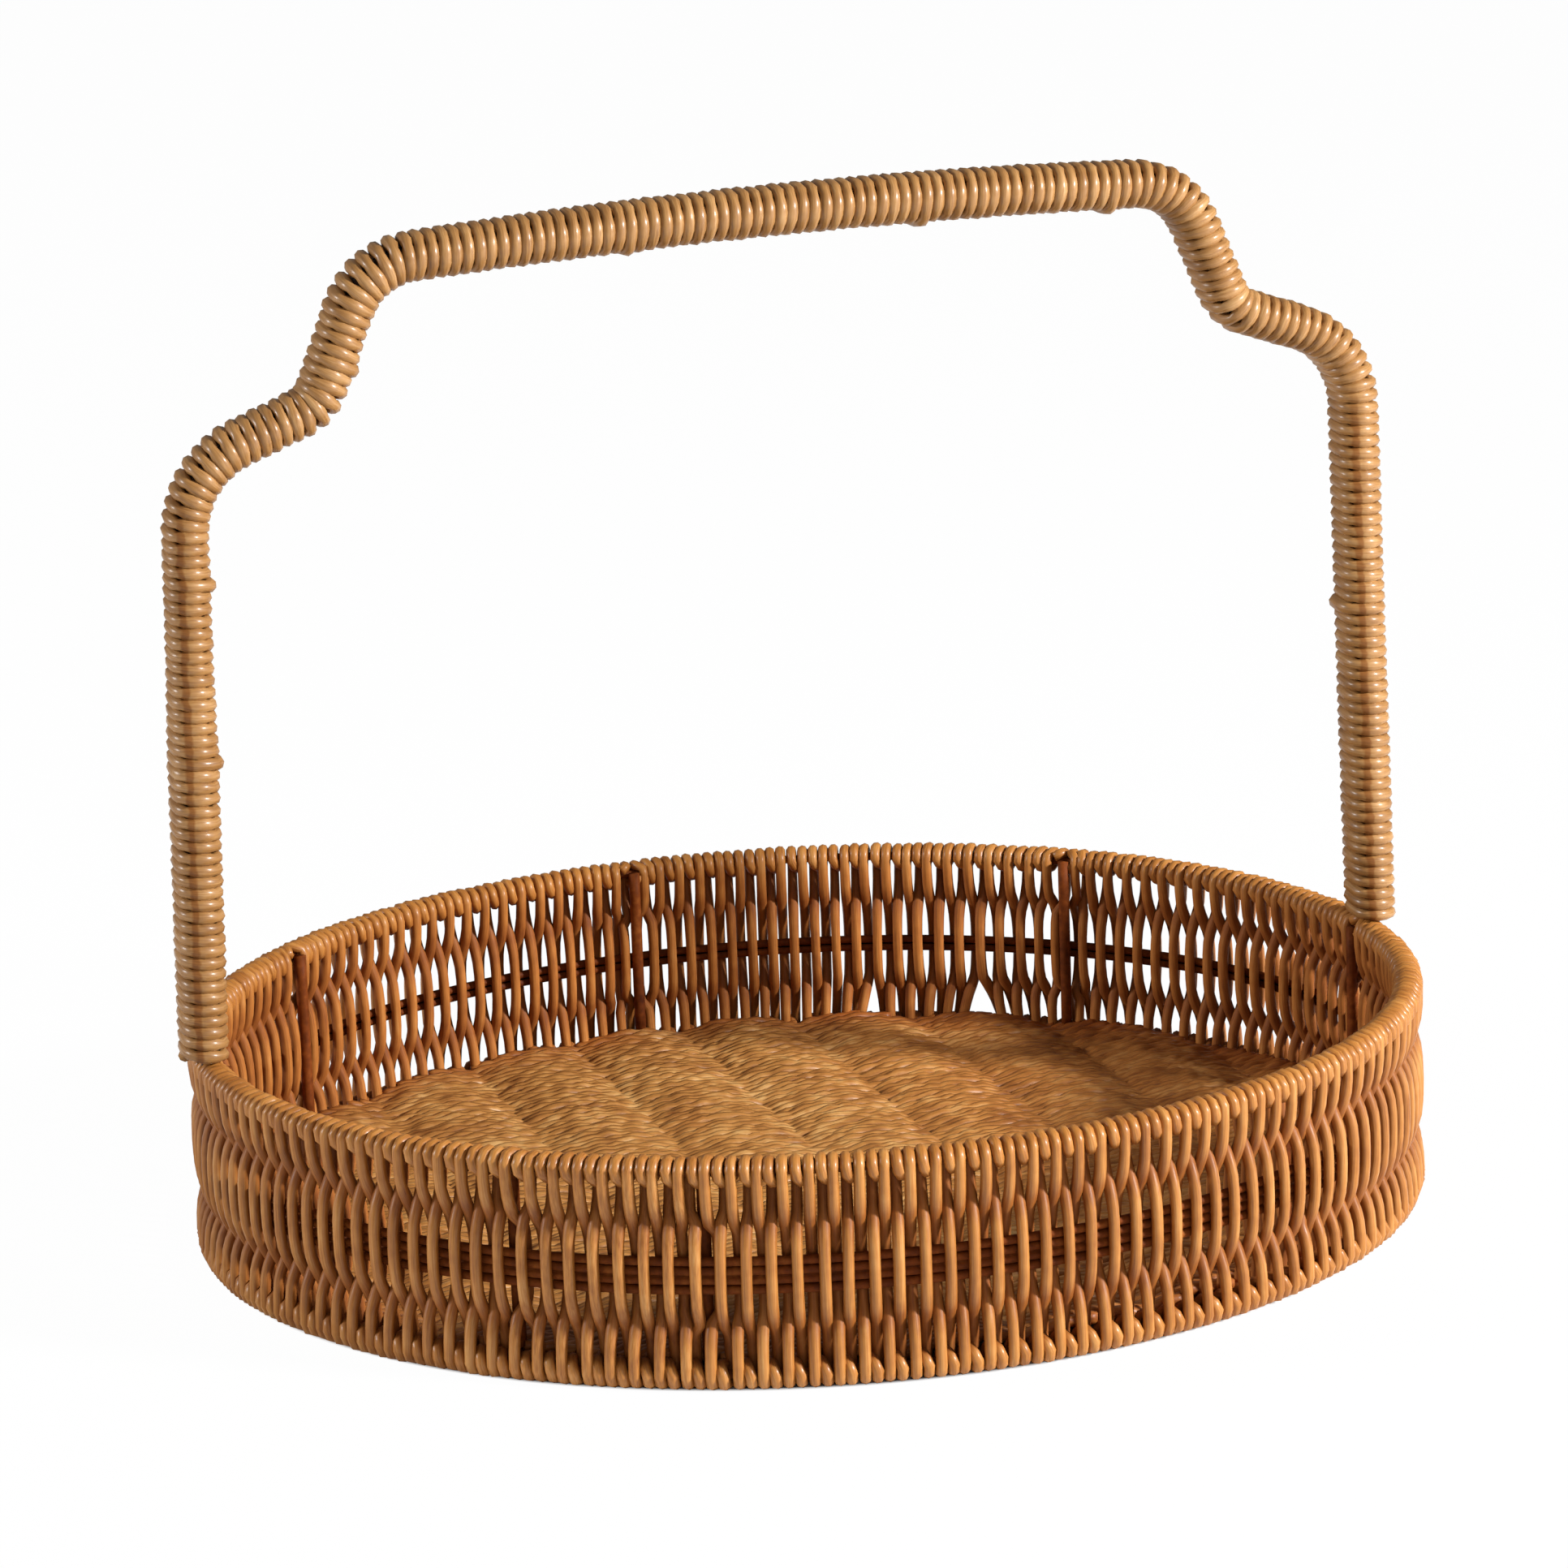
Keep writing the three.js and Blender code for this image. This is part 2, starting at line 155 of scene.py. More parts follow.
# The handle's bar, and the strand that is wound round it
HANDLE_SEED = 37
BAR_HALF_THICKNESS = 3.4
BAR_HALF_DEPTH = 5.4
BAR_STEPS = 260
FOOT_PIN = 2.0               # radius of the pin under each foot
PIN_INSET = 1.1              # how far inside the leg's middle it stands
HANDLE_STRAND = 2.1
STRAND_REACH = 1.35          # from the bar's faces to the pressed strand's middle
WINDING_CORNER = 2.9         # radius of the winding's centre line round the bar's corners
WINDING_PITCH = 3.5
WINDING_PINCH = 0.26         # how much thinner the strand is where it bends over a corner
WINDING_WANDER = (9, 0.22)
GIRTH_WANDER = (7, 0.02)
HANDLE_SWELL_WANDER = (11, 0.06)
FOOT_DROP = 2.2              # how far the last windings reach down over the rim's wraps
GIRTH_PLACES = (0, 92, 116, 165, 230, 320, 440, 530, 610, 760)   # along the handle's line
GIRTH = (1.02, 1.03, 0.93, 0.92, 1.0, 1.09, 1.09, 1.0, 1.01, 1.02)
TUCKED_ENDS = (90, 142, 227, 332, 421, 481, 663)   # knobs on the handle's inner side
KNOB_LENGTH = 1.7
KNOB_RISE = 1.3
KNOB_SWELL = 0.1

# The photograph's camera, in its own pixels and millimetres
FRAME_SIZE = 1932
CAMERA_PLACE = (-483.8, -1507.3, 518.9)
CAMERA_FOCUS = 6662.5        # focal length in pixels
CAMERA_TURN = 17.796         # degrees round +Z, from looking along +Y
CAMERA_DROP = 14.823
CAMERA_ROLL = -2.0425
AXIS_PIXEL = (989.3, 1085.6)
SENSOR = 36.0
NEAREST = 50                 # what it sees begins and ends this far off
FARTHEST = 20000


# Camera
def make_camera():
    """The fitted camera's axis meets the frame at AXIS_PIXEL. This one has no shift, so it is
    turned until its axis goes through the frame's middle."""
    turn = math.radians(CAMERA_TURN)
    drop = math.radians(CAMERA_DROP)
    roll = math.radians(CAMERA_ROLL)
    back = Vector((-math.sin(turn) * math.cos(drop), -math.cos(turn) * math.cos(drop), math.sin(drop)))
    level = Vector((math.cos(turn), -math.sin(turn), 0))
    rise = back.cross(level)
    right = math.cos(roll) * level + math.sin(roll) * rise
    up = -math.sin(roll) * level + math.cos(roll) * rise
    aside = (FRAME_SIZE / 2 - AXIS_PIXEL[0]) / CAMERA_FOCUS
    above = (AXIS_PIXEL[1] - FRAME_SIZE / 2) / CAMERA_FOCUS
    look = (-back + aside * right + above * up).normalized()
    right = look.cross(up).normalized()
    up = right.cross(look)
    data = bpy.data.cameras.new("camera")
    data.sensor_width = SENSOR
    data.lens = SENSOR * CAMERA_FOCUS / FRAME_SIZE
    data.clip_start = NEAREST * MM
    data.clip_end = FARTHEST * MM
    camera = bpy.data.objects.new("camera", data)
    axes = Matrix((right, up, -look)).transposed().to_4x4()
    camera.matrix_world = Matrix.Translation(Vector(CAMERA_PLACE) * MM) @ axes
    bpy.context.scene.collection.objects.link(camera)
    bpy.context.scene.camera = camera


make_camera()


# Materials
WALL_PATTERN = 5.6           # length in metres of a wall strand's pattern
FLOOR_PATTERN = 0.36
HANDLE_PATTERN = 11.0
FIBRE_RUN = 25.0             # how fast the fibres change along a strand, per metre
DRIFT_RUN = 18.0             # how fast its tone drifts along it
SPECKLE = 0.35               # share of small patches in the tone
FLOOR_SPECKLE = 0.7
CLOUD_SHARE = 0.45           # of the larger patches among all patches
DRIFT_SHARE = 0.7            # of the drift and the patches together in the tone
FIBRE_SHARE = 0.4
TONE_SINK = 0.05
TONE_PLACES = (0.3, 0.52, 0.76)   # where on the tone's scale a cane's three colours lie
FIBRE_DEPTH = 0.15           # of the relief that fibres give
PEEL_DEPTH = 0.1             # of the bumps in the bar's paint
CANE_SPECULAR = 0.3
ROD_SPECULAR = 0.12
COAT_ROUGHNESS = 0.24
CANE_COAT = 0.2              # the most that bare cane shines, and how much varnish adds
WALL_COAT = 0.28
HANDLE_COAT = 0.42
# Painted shade on the wall's strands: darkest near the hoops' line, full colour on the crowns
RECESS_DEPTH = 2.2           # this near to the hoops' line a strand is darkest
RECESS_FADE = 2.0            # and this much farther out it has its full colour
RECESS_SHADE_TINT = (0.66, 0.54, 0.42, 1)
INSIDE_FALL = 14.0           # how suddenly the inner side's painted shade starts at the hoops' line
INSIDE_SHADE_FALL = 120.0           # how fast it gains strength below the rim hoop, per metre
RIM_SHADE_SHARE = 0.3              # its strength at the rim hoop
INSIDE_SHADE_TINT = (0.92, 0.8, 0.68, 1)
# Painted shade on the floor: darker near the wall, and redder at its right end
EDGE_FROM = 0.72             # where across the oval the floor starts to darken
EDGE_FALL = 4.0
EDGE_PATCH_PULL = 1.2        # how far patches make that edge uneven, about their middle tone
EDGE_PATCH_MIDDLE = 0.55
EDGE_SHADE_TINT = (0.68, 0.44, 0.26, 1)
RED_FROM = 20                # where the floor's redder end begins along X
RED_RISE = 11.0              # how fast it reddens, per metre
RED_SHADE_TINT = (1.0, 0.84, 0.7, 1)
# A painted line of shade down the front of the handle's legs
SEAM_ASIDE = 2.8             # how far left of a leg's middle its dark line runs
SEAM_HALF_WIDTH = 0.65
SEAM_WANDER = 2.4
SEAM_TOP = 240
SEAM_FALL = 60.0             # how fast the line fades in below its top, per metre
SEAM_FRONT = 1000.0          # and at the front of the leg's middle
SEAM_SHADE_TINT = (0.66, 0.5, 0.35, 1)


class Value:
    """A number from a node, which Python's own arithmetic works on."""

    def __init__(self, finish, socket):
        self.finish = finish
        self.socket = socket

    def __add__(self, other):
        return self.finish.math("ADD", self, other)

    def __radd__(self, other):
        return self.finish.math("ADD", other, self)

    def __sub__(self, other):
        return self.finish.math("SUBTRACT", self, other)

    def __rsub__(self, other):
        return self.finish.math("SUBTRACT", other, self)

    def __mul__(self, other):
        return self.finish.math("MULTIPLY", self, other)

    def __rmul__(self, other):
        return self.finish.math("MULTIPLY", other, self)

    def spread(self, low, high):
        """The value's 0 to 1, spread from low to high."""
        return self * (high - low) + low


class Finish:
    """A material, built node by node on its Principled shader. The place of the point that it
    colours is x, y and z, in metres."""

    def __init__(self, name):
        self.material = bpy.data.materials.new(name)
        self.material.use_nodes = True
        self.tree = self.material.node_tree
        self.shader = self.tree.nodes["Principled BSDF"]
        coordinates = self.node("ShaderNodeTexCoord")
        self.spot = coordinates.outputs["Object"]
        self.strand_map = coordinates.outputs["UV"]
        split = self.node("ShaderNodeSeparateXYZ", {}, {0: self.spot})
        self.x, self.y, self.z = (Value(self, output) for output in split.outputs)

    def node(self, kind, settings=None, inputs=None):
        made = self.tree.nodes.new(kind)
        for name, value in (settings or {}).items():
            setattr(made, name, value)
        for key, value in (inputs or {}).items():
            self.feed(made.inputs[key], value)
        return made

    def feed(self, socket, value):
        if isinstance(value, Value):
            value = value.socket
        if isinstance(value, bpy.types.NodeSocket):
            self.tree.links.new(value, socket)
        else:
            socket.default_value = value

    def math(self, operation, *terms):
        inputs = dict(enumerate(terms))
        return Value(self, self.node("ShaderNodeMath", {"operation": operation}, inputs).outputs[0])

    def noise(self, vector, scale, detail=2.0):
        inputs = {"Vector": vector, "Scale": scale, "Detail": detail}
        return Value(self, self.node("ShaderNodeTexNoise", {}, inputs).outputs[0])

    def ramp(self, value, stops):
        made = self.node("ShaderNodeValToRGB", {}, {0: value})
        elements = made.color_ramp.elements
        while len(elements) < len(stops):
            elements.new(0.5)
        for element, (place, shade) in zip(elements, stops):
            element.position = place
            element.color = (*shade, 1)
        return made.outputs[0]

    def bounded(self, value):
        """The value, held between 0 and 1."""
        return Value(self, self.node("ShaderNodeClamp", {}, {0: value}).outputs[0])

    def tinted(self, shade, share, tint):
        """A colour that is multiplied by a tint where the share is 1, and kept where it is 0."""
        settings = {"data_type": "RGBA", "blend_type": "MULTIPLY"}
        return self.node("ShaderNodeMix", settings, {0: share, 6: shade, 7: tint}).outputs[2]

    def relief(self, height, strength, depth):
        """Fine bumps that follow a height."""
        inputs = {"Strength": strength, "Distance": depth * MM, "Height": height}
        self.surface(normal=self.node("ShaderNodeBump", {}, inputs).outputs[0])

    def surface(self, **values):
        """Feeds the shader's sockets, each under its own name in small letters."""
        for name, value in values.items():
            self.feed(self.shader.inputs[name.replace("_", " ").title()], value)

    def specular(self, level):
        self.shader.inputs["Specular IOR Level"].default_value = level


def colour(red, green, blue):
    """A colour written as on screen, from 0 to 255, as the shader's linear values."""
    linear = []
    for part in (red, green, blue):
        share = part / 255
        linear.append(share / 12.92 if share <= 0.04045 else ((share + 0.055) / 1.055) ** 2.4)
    return tuple(linear)


GOLDEN = (colour(120, 62, 15), colour(176, 115, 50), colour(206, 156, 92))
PALE_GOLDEN = (colour(112, 70, 28), colour(160, 115, 64), colour(198, 157, 106))
FLOOR_GOLDEN = (colour(112, 62, 20), colour(170, 116, 56), colour(214, 174, 112))
RATTAN = ((0.3, colour(70, 28, 6)), (0.55, colour(116, 56, 16)), (0.75, colour(152, 86, 34)))
BAR_BROWN = ((0.3, colour(62, 38, 20)), (0.7, colour(84, 54, 30)))


def strand_finish(name, pattern_length, tones, speckle=SPECKLE):
    """Cane with fibres along the strand, whose tone drifts slowly from one stretch to the next
    and in small patches. The strand's own UV map runs along it and round it."""
    finish = Finish(name)
    split = finish.node("ShaderNodeSeparateXYZ", {}, {0: finish.strand_map})
    along = Value(finish, split.outputs[0]) * pattern_length
    around = Value(finish, split.outputs[1]) * (2 * math.pi)
    ring = {0: finish.math("COSINE", around), 1: finish.math("SINE", around), 2: along * FIBRE_RUN}
    fibre_spot = finish.node("ShaderNodeCombineXYZ", {}, ring)
    fibre = finish.noise(fibre_spot.outputs[0], scale=4.0, detail=3.0)
    drift_spot = finish.node("ShaderNodeCombineXYZ", {}, {0: along * DRIFT_RUN})
    drift = finish.noise(drift_spot.outputs[0], scale=1.0)
    patch = finish.noise(finish.spot, scale=190.0)
    cloud = finish.noise(finish.spot, scale=62.0, detail=1.0)
    patch = patch * (1 - CLOUD_SHARE) + cloud * CLOUD_SHARE
    tone = drift * (DRIFT_SHARE - speckle) + patch * speckle + fibre * FIBRE_SHARE - TONE_SINK
    finish.shade = finish.ramp(tone, list(zip(TONE_PLACES, tones)))
    finish.surface(
        base_color=finish.shade,
        roughness=fibre.spread(0.4, 0.62),
        coat_weight=fibre.spread(0, CANE_COAT),
        coat_roughness=COAT_ROUGHNESS,
    )
    finish.specular(CANE_SPECULAR)
    finish.relief(fibre, strength=0.35, depth=FIBRE_DEPTH)
    return finish


def across_oval(finish):
    """How far out a point lies, as 0 on the basket's axis and 1 on the hoops' line."""
    long_way = finish.x * finish.x * (1 / (HOOP_HALF_LENGTH * MM) ** 2)
    return long_way + finish.y * finish.y * (1 / (HOOP_HALF_WIDTH * MM) ** 2)


def paint_recess_shade(finish):
    """Painted shade: the strand is darker where it presses on the hoops and its neighbours, and
    keeps its full colour on its crowns. The measure is the distance from the hoops' own line."""
    mean_radius = (HOOP_HALF_LENGTH + HOOP_HALF_WIDTH) / 2 * MM
    offset = (across_oval(finish) - 1.0) * (mean_radius / 2)
    above = finish.math("MAXIMUM", finish.z - RIM_HEIGHT * MM, 0.0)
    under = finish.math("MAXIMUM", BASE_HEIGHT * MM - finish.z, 0.0)
    away = finish.math("SQRT", offset * offset + above * above + under * under)
    recess_shade = finish.bounded(1.0 - (away - RECESS_DEPTH * MM) * (1 / (RECESS_FADE * MM)))
    finish.shade = finish.tinted(finish.shade, recess_shade, RECESS_SHADE_TINT)


def paint_inside_shade(finish):
    """Painted shade: the runs inside the hoops' oval, below the rim, are darker and redder, and
    have little gloss."""
    inner = finish.bounded(0.5 - (across_oval(finish) - 1.0) * INSIDE_FALL)
    below = finish.bounded((RIM_HEIGHT * MM - finish.z) * INSIDE_SHADE_FALL + RIM_SHADE_SHARE)
    inner = inner * below
    finish.surface(
        base_color=finish.tinted(finish.shade, inner, INSIDE_SHADE_TINT),
        coat_weight=finish.bounded(WALL_COAT - inner),
        roughness=inner.spread(0.5, 0.75),
    )


def paint_floor_shade(finish):
    """Painted shade: the floor's strands are darker where they run in under the wall, and redder
    at its right end, where the right wall's shade falls."""
    edge = finish.bounded((across_oval(finish) - EDGE_FROM) * EDGE_FALL)
    patches = finish.noise(finish.spot, scale=45.0)
    edge = finish.bounded(edge + (patches - EDGE_PATCH_MIDDLE) * EDGE_PATCH_PULL)
    redder = finish.bounded((finish.x - RED_FROM * MM) * RED_RISE)
    shade = finish.tinted(finish.shade, edge, EDGE_SHADE_TINT)
    finish.surface(base_color=finish.tinted(shade, redder, RED_SHADE_TINT))


def paint_seam_shade(finish):
    """Down the front of both legs, a little left of the middle, runs an uneven dark line of
    painted shade, with less coat on it."""
    middle = (HOOP_HALF_LENGTH + LEG_OVERHANG) * MM
    lean = math.tan(math.radians(LEG_LEAN))
    out = finish.math("ABSOLUTE", finish.x) - middle + (finish.z - HANDLE_FOOT * MM) * lean
    aside = out * finish.math("SIGN", finish.x) + SEAM_ASIDE * MM
    uneven = finish.noise(finish.spot, scale=240.0)
    aside = finish.math("ABSOLUTE", aside + (uneven - 0.5) * (SEAM_WANDER * MM))
    seam_shade = finish.bounded(1.0 - (aside - SEAM_HALF_WIDTH * MM) * (1 / (SEAM_HALF_WIDTH * MM)))
    front = finish.bounded(finish.y * -SEAM_FRONT)
    legs = finish.bounded((SEAM_TOP * MM - finish.z) * SEAM_FALL)
    seam_shade = seam_shade * front * legs
    finish.surface(
        base_color=finish.tinted(finish.shade, seam_shade, SEAM_SHADE_TINT),
        coat_weight=finish.bounded(HANDLE_COAT - seam_shade),
    )


def wall_finish():
    finish = strand_finish("wall_cane", WALL_PATTERN, GOLDEN)
    # painted shade where the strands press on the hoops and on each other
    paint_recess_shade(finish)
    # painted shade on the runs inside the hoops' oval
    paint_inside_shade(finish)
    return finish.material


def floor_finish():
    finish = strand_finish("floor_cane", FLOOR_PATTERN, FLOOR_GOLDEN, FLOOR_SPECKLE)
    # painted shade near the wall and at the floor's right end
    paint_floor_shade(finish)
    return finish.material


def handle_finish():
    finish = strand_finish("handle_cane", HANDLE_PATTERN, PALE_GOLDEN)
    # painted shade in a line down the legs
    paint_seam_shade(finish)
    return finish.material


def rod_finish():
    """Peeled rattan, dark brown, with long fibres and blotches."""
    finish = Finish("dark_rattan")
    fibre = finish.noise(finish.spot, scale=420.0, detail=3.0)
    blotch = finish.noise(finish.spot, scale=45.0)
    shade = finish.ramp(fibre * 0.5 + blotch * 0.5, RATTAN)
    finish.surface(base_color=shade, roughness=fibre.spread(0.55, 0.75))
    finish.specular(ROD_SPECULAR)
    finish.relief(fibre, strength=0.3, depth=FIBRE_DEPTH)
    return finish.material


def bar_finish():
    """Brown paint on a steel bar, with a fine orange peel."""
    finish = Finish("painted_bar")
    peel = finish.noise(finish.spot, scale=900.0)
    finish.surface(base_color=finish.ramp(peel, BAR_BROWN), roughness=peel.spread(0.4, 0.6))
    finish.relief(peel, strength=0.2, depth=PEEL_DEPTH)
    return finish.material


wall_cane = wall_finish()
floor_cane = floor_finish()
handle_cane = handle_finish()
rod_brown = rod_finish()
bar_brown = bar_finish()


# Pieces
MERGE_REACH = 0.01


def finish_piece(piece, material, node):
    """Gives a piece its material, hangs it under the root body and hides the CAD node that it stands
    for.
    """
    piece.data.materials.clear()
    piece.data.materials.append(material)
    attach(piece, "root")
    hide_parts(node)


def tube_piece(name, paths, radius, closed=False, half_sides=2):
    """Strands or rods as one mesh: a curve with a round bevel along each path of points in
    millimetres, turned into a mesh whose ends are closed. A path's fourth column, if it has
    one, swells or thins the tube."""
    curve = bpy.data.curves.new(name, "CURVE")
    curve.dimensions = "3D"
    curve.bevel_depth = radius * MM
    curve.bevel_resolution = half_sides
    curve.use_fill_caps = True
    for path in paths:
        spline = curve.splines.new("POLY")
        spline.points.add(len(path) - 1)
        places = np.ones((len(path), 4))
        places[:, :3] = np.asarray(path)[:, :3] * MM
        spline.points.foreach_set("co", places.ravel())
        if len(path[0]) > 3:
            spline.points.foreach_set("radius", path[:, 3])
        spline.use_cyclic_u = closed
        spline.use_smooth = True
    piece = bpy.data.objects.new(name, curve)
    bpy.context.scene.collection.objects.link(piece)
    bpy.ops.object.select_all(action="DESELECT")
    bpy.context.view_layer.objects.active = piece
    piece.select_set(True)
    bpy.ops.object.convert(target="MESH")
    bpy.ops.object.mode_set(mode="EDIT")
    bpy.ops.mesh.select_all(action="SELECT")
    bpy.ops.mesh.remove_doubles(threshold=MERGE_REACH * MM)
    bpy.ops.mesh.normals_make_consistent(inside=False)
    bpy.ops.object.mode_set(mode="OBJECT")
    bpy.ops.object.shade_smooth()
    piece.select_set(False)
    return piece


def wander(count, spacing, size, dice):
    """A smooth random wander about zero, with a new aim every few steps."""
    aims = [dice.uniform(-size, size) for _ in range(count // spacing + 2)]
    return np.interp(np.arange(count) / spacing, np.arange(len(aims)), aims)


# The oval wall
class Oval:
    """The hoops' centre line, walked by distance from the end of its long axis."""

    SAMPLES = 2000

    def __init__(self, half_length, half_width):
        self.half_length = half_length
        self.half_width = half_width
        self.angles = np.linspace(0, 2 * math.pi, self.SAMPLES + 1)
        steps = np.diff(np.stack([half_length * np.cos(self.angles), half_width * np.sin(self.angles)]))
        self.walked = np.concatenate([[0], np.cumsum(np.hypot(*steps))])
        self.length = self.walked[-1]

    def distance(self, degrees):
        return np.interp(math.radians(degrees), self.angles, self.walked)

    def angle(self, distance):
        return np.interp(np.mod(distance, self.length), self.walked, self.angles)

    def points(self, distance, offset, height):
        """Points at a distance along the line, offset outwards from it, at a height."""
        angle = self.angle(distance)
        normal_x = self.half_width * np.cos(angle)
        normal_y = self.half_length * np.sin(angle)
        size = np.hypot(normal_x, normal_y)
        x = self.half_length * np.cos(angle) + offset * normal_x / size
        y = self.half_width * np.sin(angle) + offset * normal_y / size
        return np.stack([x, y, height * np.ones_like(x)], axis=-1)


oval = Oval(HOOP_HALF_LENGTH, HOOP_HALF_WIDTH)


def pair_template():
    """One strand's round from rim to rim, as advance in pitches, offset, height, swell, and
    how far it has passed over to the next round's place at the foot: down the wall, one and a
    half turns round the base hoop, up the wall on the other side of the hoops, and one and a
    half turns round the rim hoop."""
    reach = WRAPPED_ROD + WALL_STRAND
    rows = []

    def lay(advance, side, height, swell, over):
        rows.append((advance + LEAN * (1 - side) / 2, side * reach, height, swell, over))

    def leg(advance, side, start, end, over):
        for half in (0, 0.5):
            for share in LEG_SHARES:
                turn = 2 * math.pi * (share + half)
                through = math.tanh(CROSSING_HASTE * math.cos(turn)) / math.tanh(CROSSING_HASTE)
                swell = 1 + CROSSING_SWELL * (1 - through ** 2)
                lay(advance, side * through, start + (end - start) * (share + half), swell, over)

    def wrap(advance, side, middle, way, over):
        for degrees in range(0, WRAP_TURN, WRAP_STEP):
            turn = math.radians(degrees)
            passed = min(max((degrees - 180) / 180, 0), 1)
            height = middle + way * reach * math.sin(turn)
            out = side * math.cos(turn)
            lay(advance + passed / 2, out, height, WRAP_SWELL, over or degrees / WRAP_TURN)

    leg(0, 1, RIM_HEIGHT, BASE_HEIGHT, 0)
    wrap(0, 1, BASE_HEIGHT, -1, 0)
    leg(0.5, -1, BASE_HEIGHT, RIM_HEIGHT, 1)
    wrap(0.5, -1, RIM_HEIGHT, 1, 1)
    return np.array(rows)


def part_round_posts(distance, offset, first, last):
    """Strands' inner runs are held off the two posts that the stretch lies between."""
    inner = np.clip(-offset - INNER_FROM, 0, 1)
    after = np.maximum(distance - first, 0)
    before = np.maximum(last - distance, 0)
    distance = distance + inner * (np.hypot(after, POST_ROOM) - after)
    return distance - inner * (np.hypot(before, POST_ROOM) - before)


def parted_at_foot(distance, height, home):
    """The foot's strands lean away from the places where they have been pushed apart. Home
    settles on which side of such a place a point stays."""
    low = np.clip(1 - height / PARTING_HEIGHT, 0, 1)
    for degrees, width in PARTINGS:
        middle = oval.distance(degrees)
        side = np.sign(home - middle)
        away = np.maximum(side * (distance - middle), 0)
        parted = middle + side * (away + width / 2 * np.exp(-away / PARTING_REACH))
        near = np.abs(home - middle) < PARTING_END
        distance = np.where(near, distance + low * (parted - distance), distance)
    return distance


def wall_path(first, last, dice):
    """One strand's way along the wall, from one post to the next. It begins and ends under
    the rim, on the inside."""
    template = pair_template()
    pairs = round((last - first) / PAIR_PITCH)
    pitch = (last - first) / pairs
    tail = WRAP_TURN // WRAP_STEP - 360 // WRAP_STEP
    rounds = [template[-tail:] - (1, 0, 0, 0, 0)]
    rounds += [template + (i, 0, 0, 0, 0) for i in range(pairs)]
    home = np.concatenate([np.full(len(rows), i - 1) for i, rows in enumerate(rounds)])[:-tail]
    rows = np.concatenate(rounds)[:-tail]
    count = len(rows)
    legs = wander(count, *LONG_LEG_WANDER, dice) + wander(count, *SHORT_LEG_WANDER, dice)
    distance = first + (rows[:, 0] + FIRST_PLACE) * pitch + legs
    offset = rows[:, 1] + wander(count, *OFFSET_WANDER, dice)
    height = np.maximum(rows[:, 2] + wander(count, *HEIGHT_WANDER, dice), WALL_STRAND)
    distance = part_round_posts(distance, offset, first, last)
    home = first + (home + FIRST_PLACE) * pitch
    here = parted_at_foot(distance, height, home)
    there = parted_at_foot(distance, height, home + pitch)
    distance = here + rows[:, 4] * (there - here)
    swell = rows[:, 3] * (1 + wander(count, *WALL_SWELL_WANDER, dice))
    return np.column_stack([oval.points(distance, offset, height), swell])


def make_wall():
    dice = random.Random(WALL_SEED)
    stops = [oval.distance(degrees) for degrees in POST_ANGLES]
    stops.append(stops[0] + oval.length)
    for i in range(len(POST_ANGLES)):
        path = wall_path(stops[i], stops[i + 1], dice)
        piece = tube_piece(f"wall_weave_{i + 1}", [path], WALL_STRAND)
        finish_piece(piece, wall_cane, f"woven_panel_{i + 1}")


def make_hoops():
    around = np.linspace(0, oval.length, HOOP_STEPS, endpoint=False)
    for name, height in (("rim", RIM_HEIGHT), ("base", BASE_HEIGHT)):
        path = oval.points(around, 0, height)
        piece = tube_piece(f"{name}_hoop_rod", [path], WRAPPED_ROD, closed=True)
        finish_piece(piece, rod_brown, f"{name}_hoop")
    paths = [oval.points(around, 0, MIDDLE_HEIGHT + side * MIDDLE_ROD) for side in (-1, 1)]
    piece = tube_piece("middle_hoop_rods", paths, MIDDLE_ROD, closed=True)
    finish_piece(piece, rod_brown, "middle_hoop")
    lap = np.linspace(*(oval.distance(degrees) for degrees in LAP_ENDS), LAP_STEPS)
    beside = 2 * MIDDLE_ROD + LAP_ROD
    paths = [oval.points(lap, 0, MIDDLE_HEIGHT + side * beside) for side in (-1, 1)]
    piece = tube_piece("middle_hoop_lap", paths, LAP_ROD)
    finish_piece(piece, rod_brown, "middle_hoop")


def make_posts():
    heights = np.linspace(BASE_HEIGHT + POST_FOOT, RIM_HEIGHT + POST_HEAD, POST_STEPS)
    for i, degrees in enumerate(POST_ANGLES):
        place = np.full(POST_STEPS, oval.distance(degrees))
        path = oval.points(place, -(HOOP_ROD + POST_ROD), heights)
        piece = tube_piece(f"wall_post_rod_{i + 1}", [path], POST_ROD)
        finish_piece(piece, rod_brown, f"wall_post_{i + 1}")


# The floor
rib_boxes = [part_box(f"floor_rib_{i + 1}") for i in range(RIB_COUNT)]
rib_places = [(low.x + high.x) / 2 / MM for low, high in rib_boxes]
rib_pitch = rib_places[1] - rib_places[0]


def mat_height(x):
    """The mat's height along X, in rolls with their crests over the ribs."""
    roll = np.abs(np.cos(np.pi * (x - rib_places[0]) / rib_pitch)) ** MAT_FULLNESS
    return MAT_VALLEY + (MAT_CREST - MAT_VALLEY) * roll


def half_chord(distance, half_along, half_across):
    """Half of an oval's chord, at a distance from the oval's middle."""
    return half_across * math.sqrt(1 - (distance / half_along) ** 2)


